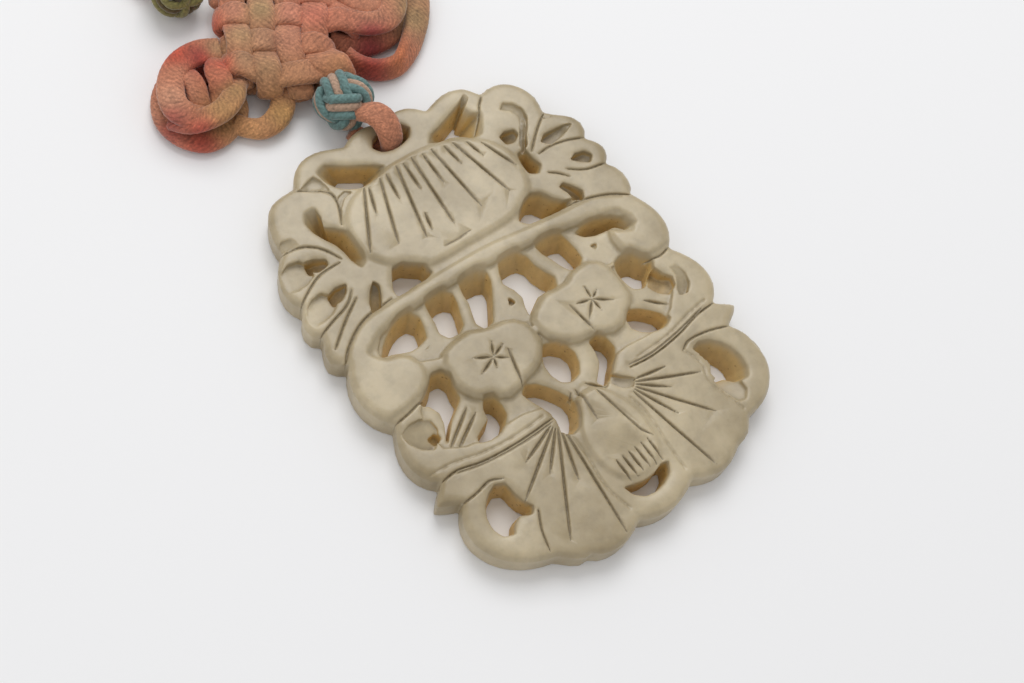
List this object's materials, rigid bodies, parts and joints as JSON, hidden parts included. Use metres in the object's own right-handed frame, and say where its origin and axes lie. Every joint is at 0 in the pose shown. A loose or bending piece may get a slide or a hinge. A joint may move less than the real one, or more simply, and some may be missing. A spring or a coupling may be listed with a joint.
{
  "type": "jade carving",
  "caption": "Pierced and carved jade pendant plaque with flower, fruit and cloud relief, on a knotted silk cord with round button knots, a square woven knot and a hanging loop.",
  "frame": {"origin": "under the middle of the jade plaque, on the plane of its flat back; the cord is left out", "axes": "+X across the plaque to the viewer's right, +Y up the plaque towards the cord, +Z out of its carved front"},
  "size_m": [0.0528, 0.1325, 0.0085],
  "materials": {
    "jade": "satin polished, slightly translucent, pale grey-green to beige nephrite with ochre recesses",
    "salmon_silk": "flat braided silk, salmon with tan and red patches",
    "turquoise_silk": "two-tone braided silk, grey turquoise and pink beige",
    "olive_silk": "two-tone braided silk, olive and dark brown"
  },
  "bodies": {
    "root": {"jade_plaque": "jade", "suspension_loop": "salmon_silk", "turquoise_button_knot": "turquoise_silk", "woven_knot": "salmon_silk", "left_rosette": "salmon_silk", "right_rosette": "salmon_silk", "lower_ear": "salmon_silk", "right_ear": "salmon_silk", "olive_button_knot": "olive_silk", "hanging_loop": "salmon_silk"}
  },
  "joints": []
}
